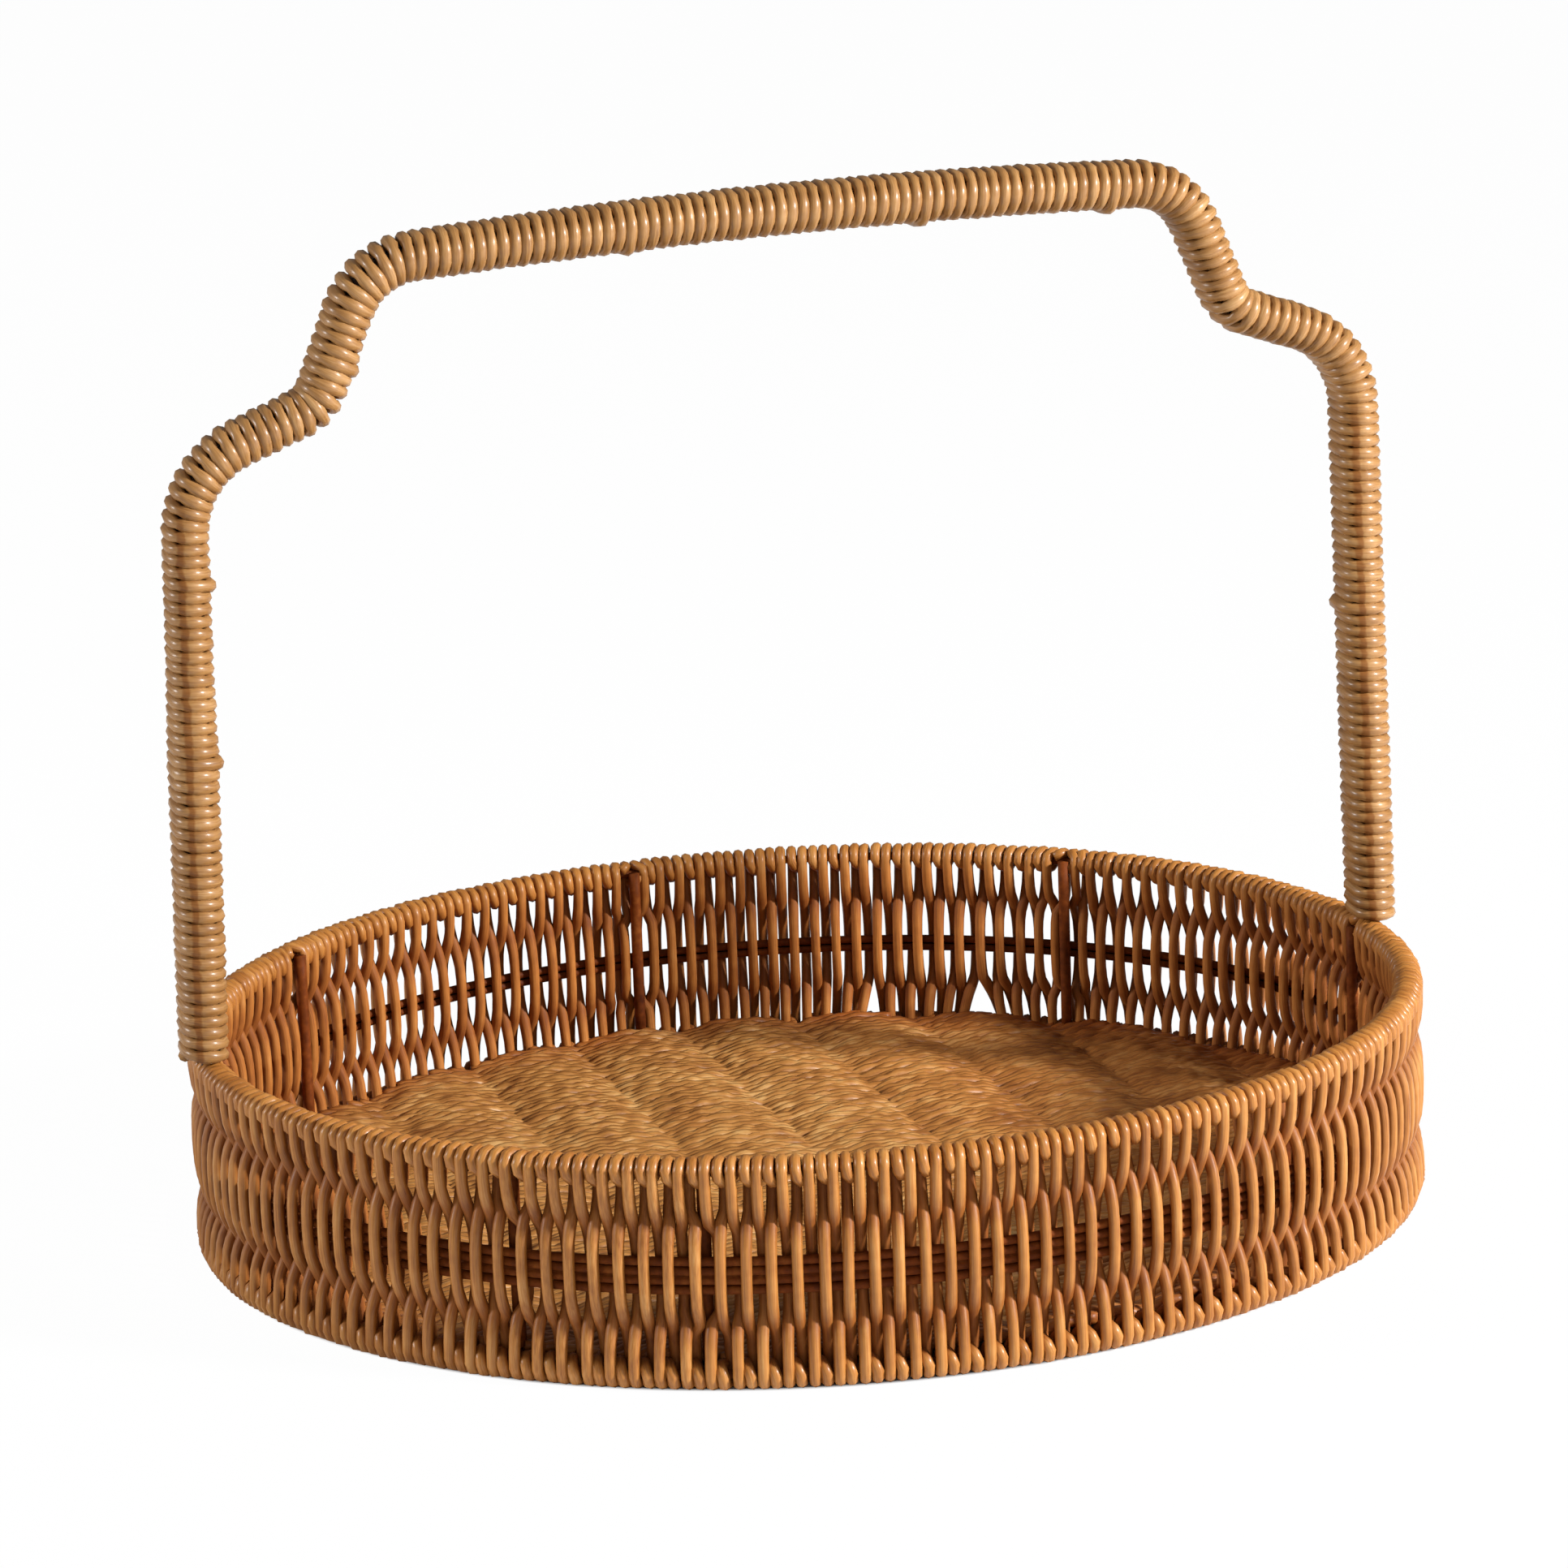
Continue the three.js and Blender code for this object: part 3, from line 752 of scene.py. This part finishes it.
def floor_path(row, dice):
    """One floor strand, which rises over one stake and dips under the next."""
    y = row * FLOOR_PITCH
    half = half_chord(y, FLOOR_HALF_WIDTH, FLOOR_HALF_LENGTH)
    count = int(2 * half / FLOOR_STEP)
    x = np.linspace(-half, half, count)
    place = x / STAKE_PITCH + row + wander(count, *RHYTHM_WANDER, dice)
    rise = STAKE_RISE * np.cos(np.pi * place)
    z = mat_height(x) + rise + wander(count, *FLOOR_HEIGHT_WANDER, dice)
    swell = 1 + wander(count, *FLOOR_SWELL_WANDER, dice)
    return np.column_stack([x, y + wander(count, *FLOOR_PLACE_WANDER, dice), z, swell])


def make_floor():
    dice = random.Random(FLOOR_SEED)
    rows = int(FLOOR_HALF_WIDTH / FLOOR_PITCH)
    for name, half_rows in (("front", range(-rows, 1)), ("back", range(1, rows + 1))):
        paths = [floor_path(row, dice) for row in half_rows]
        piece = tube_piece(f"floor_weave_{name}", paths, FLOOR_STRAND, half_sides=1)
        finish_piece(piece, floor_cane, "woven_floor")


def make_stakes():
    stakes = int(FLOOR_HALF_LENGTH / STAKE_PITCH)
    paths = []
    for stake in range(1 - stakes, stakes):
        x = np.full(STAKE_STEPS, stake * STAKE_PITCH)
        half = half_chord(stake * STAKE_PITCH, FLOOR_HALF_LENGTH, FLOOR_HALF_WIDTH)
        paths.append(np.column_stack([x, np.linspace(-half, half, STAKE_STEPS), mat_height(x)]))
    piece = tube_piece("floor_stakes", paths, STAKE_ROD, half_sides=1)
    finish_piece(piece, rod_brown, "woven_floor")


def make_ribs():
    height = np.full(RIB_STEPS, middle_height("floor_rib_1") - RIB_SINK)
    for i, (low, high) in enumerate(rib_boxes):
        y = np.linspace(low.y, high.y, RIB_STEPS) / MM
        path = np.stack([np.full(RIB_STEPS, rib_places[i]), y, height], axis=-1)
        piece = tube_piece(f"floor_rib_rod_{i + 1}", [path], RIB_ROD)
        finish_piece(piece, rod_brown, f"floor_rib_{i + 1}")


# The handle
class HandleLine:
    """The handle's centre line from its left foot over the top to its right foot."""

    STEP = 0.5

    def __init__(self):
        self.spots = [(HOOP_HALF_LENGTH + LEG_OVERHANG, HANDLE_FOOT)]
        self.heading = 90 + LEG_LEAN
        self.straight(LEG_LENGTH)
        self.arc(SHOULDER_RADIUS, SHOULDER_TURN)
        self.straight(SLOPE_LENGTH)
        self.arc(NOTCH_RADIUS, -NOTCH_TURN)
        self.straight(RISER_LENGTH)
        self.arc(CORNER_RADIUS, CORNER_TURN)
        last_turn = 180 - self.heading
        self.arc(self.spots[-1][0] / math.sin(math.radians(last_turn)), last_turn)
        right = np.array(self.spots)
        left = right * (-1, 1)
        line = np.concatenate([left, right[-2::-1]])
        tilted = np.interp(line[:, 1], TILT_HEIGHTS, (0, TILT_SLOPE))
        crowned = np.interp(line[:, 1], CROWN_HEIGHTS, (0, CROWN_RISE))
        line[:, 1] += tilted * (line[:, 0] + TILT_MIDDLE) + crowned
        steps = np.hypot(*np.diff(line, axis=0).T)
        self.walked = np.concatenate([[0], np.cumsum(steps)])
        self.length = self.walked[-1]
        self.line = line

    def step(self, length):
        turn = math.radians(self.heading)
        x, z = self.spots[-1]
        self.spots.append((x + length * math.cos(turn), z + length * math.sin(turn)))

    def straight(self, length):
        count = math.ceil(length / self.STEP)
        for _ in range(count):
            self.step(length / count)

    def arc(self, radius, degrees):
        length = abs(math.radians(degrees)) * radius
        count = math.ceil(length / self.STEP)
        for _ in range(count):
            self.heading += degrees / count / 2
            self.step(length / count)
            self.heading += degrees / count / 2

    def at(self, distance):
        """The line's point at a distance, which may lie a little before or past its feet."""
        beyond = np.minimum(distance, 0) + np.maximum(distance - self.length, 0)
        x = np.interp(distance, self.walked, self.line[:, 0])
        z = np.interp(distance, self.walked, self.line[:, 1]) - np.abs(beyond)
        return np.stack([x, z], axis=-1)

    def points(self, distance, outward, depth):
        """Points beside the line: outward in the handle's plane, depth along Y."""
        here = self.at(distance)
        ahead = self.at(distance + 1) - self.at(distance - 1)
        ahead /= np.hypot(*ahead.T)[:, None]
        x = here[:, 0] - outward * ahead[:, 1]
        z = here[:, 1] + outward * ahead[:, 0]
        return np.stack([x, depth * np.ones_like(x), z], axis=-1)


handle_line = HandleLine()


def winding_section():
    """One winding's sixteen points round the bar, as outward, depth, share of a turn and
    swell."""
    outward = BAR_HALF_THICKNESS + STRAND_REACH
    depth = BAR_HALF_DEPTH + STRAND_REACH
    corner = WINDING_CORNER
    spots = []
    for middle, (side_x, side_y) in ((45, (1, 1)), (135, (-1, 1)), (225, (-1, -1)), (315, (1, -1))):
        for degrees in (middle - 45, middle, middle + 45):
            turn = math.radians(degrees)
            x = side_x * (outward - corner) + corner * math.cos(turn)
            y = side_y * (depth - corner) + corner * math.sin(turn)
            spots.append((x, y, 1 - WINDING_PINCH * (degrees == middle)))
        turn = math.radians(middle + 45)
        across = (round(math.cos(turn)) * outward, round(math.sin(turn)) * depth)
        spots.append((*across, 1 + WINDING_PINCH / 2))
    spots = np.array(spots)
    steps = np.hypot(*np.diff(np.concatenate([spots, spots[:1]]), axis=0).T[:2])
    shares = np.concatenate([[0], np.cumsum(steps)[:-1]]) / steps.sum()
    return spots, shares


def make_winding():
    dice = random.Random(HANDLE_SEED)
    spots, shares = winding_section()
    room = handle_line.length + 2 * FOOT_DROP - 2 * HANDLE_STRAND
    windings = round(room / WINDING_PITCH)
    turns = (np.arange(windings)[:, None] + shares[None, :]).ravel()
    count = len(turns)
    distance = HANDLE_STRAND - FOOT_DROP + turns * room / windings
    distance = distance + wander(count, *WINDING_WANDER, dice)
    girth = np.interp(distance, GIRTH_PLACES, GIRTH)
    outward = np.tile(spots[:, 0], windings) * (girth + wander(count, *GIRTH_WANDER, dice))
    depth = np.tile(spots[:, 1], windings) * (girth + wander(count, *GIRTH_WANDER, dice))
    swell = np.tile(spots[:, 2], windings) * (1 + wander(count, *HANDLE_SWELL_WANDER, dice))
    for spot in TUCKED_ENDS:
        knob = np.exp(-((distance - spot) / KNOB_LENGTH) ** 2) * (outward < -BAR_HALF_THICKNESS)
        outward = outward - KNOB_RISE * knob
        swell = swell * (1 + KNOB_SWELL * knob)
    path = np.column_stack([handle_line.points(distance, outward, depth), swell])
    piece = tube_piece("handle_strand_winding", [path], HANDLE_STRAND)
    finish_piece(piece, handle_cane, "handle_winding")


def make_bar():
    """The bar as two round rods that lie within each other, and its pin under each foot."""
    distance = np.linspace(0, handle_line.length, BAR_STEPS)
    rod_depth = BAR_HALF_DEPTH - BAR_HALF_THICKNESS
    rods = [handle_line.points(distance, 0, side * rod_depth) for side in (-1, 1)]
    piece = tube_piece("handle_bar_rods", rods, BAR_HALF_THICKNESS, half_sides=1)
    finish_piece(piece, bar_brown, "handle_bar")
    pin_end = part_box("handle_bar")[0].z / MM
    aside = HOOP_HALF_LENGTH + LEG_OVERHANG - PIN_INSET
    pins = [np.array([(x, 0, HANDLE_FOOT + FOOT_PIN), (x, 0, pin_end)]) for x in (-aside, aside)]
    piece = tube_piece("handle_bar_pins", pins, FOOT_PIN)
    finish_piece(piece, bar_brown, "handle_bar")


make_wall()
make_hoops()
make_posts()
make_floor()
make_stakes()
make_ribs()
make_winding()
make_bar()


# Stage and light, in metres and watts
STAGE_SIZE = 60
STAGE_GREY = 0.86
STAGE_GLOW = 0.98            # the share of white with which the camera sees the stage
STAGE_EDGE = 40.0            # how suddenly that ends at the basket's own line
WORLD_LIGHT = 0.15
LAMP_AIM = (0, 0, 0.1)
KEY_LAMP = {"place": (1.5, -1.28, 1.0), "size": 0.3, "power": 84}
SIDE_LAMP = {"place": (-1.9, 0.4, 0.8), "size": 0.5, "power": 24}
FRONT_LAMP = {"place": (-0.3, -2.1, 0.9), "size": 0.9, "power": 4}
WHITE = (1, 1, 1, 1)


def make_stage():
    """A pale floor that shows almost white to the camera and keeps the basket's shadow."""
    bpy.ops.mesh.primitive_plane_add(size=STAGE_SIZE, location=(0, 0, 0))
    floor = bpy.context.view_layer.objects.active
    floor.name = "stage_floor"
    finish = Finish("stage_paper")
    finish.surface(base_color=(STAGE_GREY, STAGE_GREY, STAGE_GREY, 1), roughness=0.9)
    rays = finish.node("ShaderNodeLightPath")
    glow = finish.node("ShaderNodeEmission", {}, {"Color": WHITE, "Strength": 1.0})
    outside = finish.bounded((across_oval(finish) - 1.0) * STAGE_EDGE)
    seen = Value(finish, rays.outputs["Is Camera Ray"]) * outside * STAGE_GLOW
    inputs = {0: seen, 1: finish.shader.outputs[0], 2: glow.outputs[0]}
    mixed = finish.node("ShaderNodeMixShader", {}, inputs)
    finish.feed(finish.tree.nodes["Material Output"].inputs["Surface"], mixed.outputs[0])
    floor.data.materials.append(finish.material)


def make_world():
    """Soft light from all sides, and white where the camera looks past the stage."""
    world = bpy.data.worlds.new("studio")
    bpy.context.scene.world = world
    world.use_nodes = True
    tree = world.node_tree
    soft = tree.nodes["Background"]
    soft.inputs["Color"].default_value = WHITE
    soft.inputs["Strength"].default_value = WORLD_LIGHT
    white = tree.nodes.new("ShaderNodeBackground")
    white.inputs["Color"].default_value = WHITE
    white.inputs["Strength"].default_value = 1.0
    rays = tree.nodes.new("ShaderNodeLightPath")
    blend = tree.nodes.new("ShaderNodeMixShader")
    tree.links.new(rays.outputs["Is Camera Ray"], blend.inputs[0])
    tree.links.new(soft.outputs[0], blend.inputs[1])
    tree.links.new(white.outputs[0], blend.inputs[2])
    tree.links.new(blend.outputs[0], tree.nodes["World Output"].inputs["Surface"])


def make_lamp(name, place, size, power):
    """A square soft lamp that points at the basket's middle."""
    data = bpy.data.lights.new(name, "AREA")
    data.shape = "SQUARE"
    data.size = size
    data.energy = power
    lamp = bpy.data.objects.new(name, data)
    lamp.location = place
    aim = Vector(LAMP_AIM) - Vector(place)
    lamp.rotation_mode = "QUATERNION"
    lamp.rotation_quaternion = aim.to_track_quat("-Z", "Y")
    bpy.context.scene.collection.objects.link(lamp)


bpy.context.scene.view_settings.view_transform = "Standard"
make_stage()
make_world()
make_lamp("key", **KEY_LAMP)
make_lamp("side", **SIDE_LAMP)
make_lamp("front", **FRONT_LAMP)
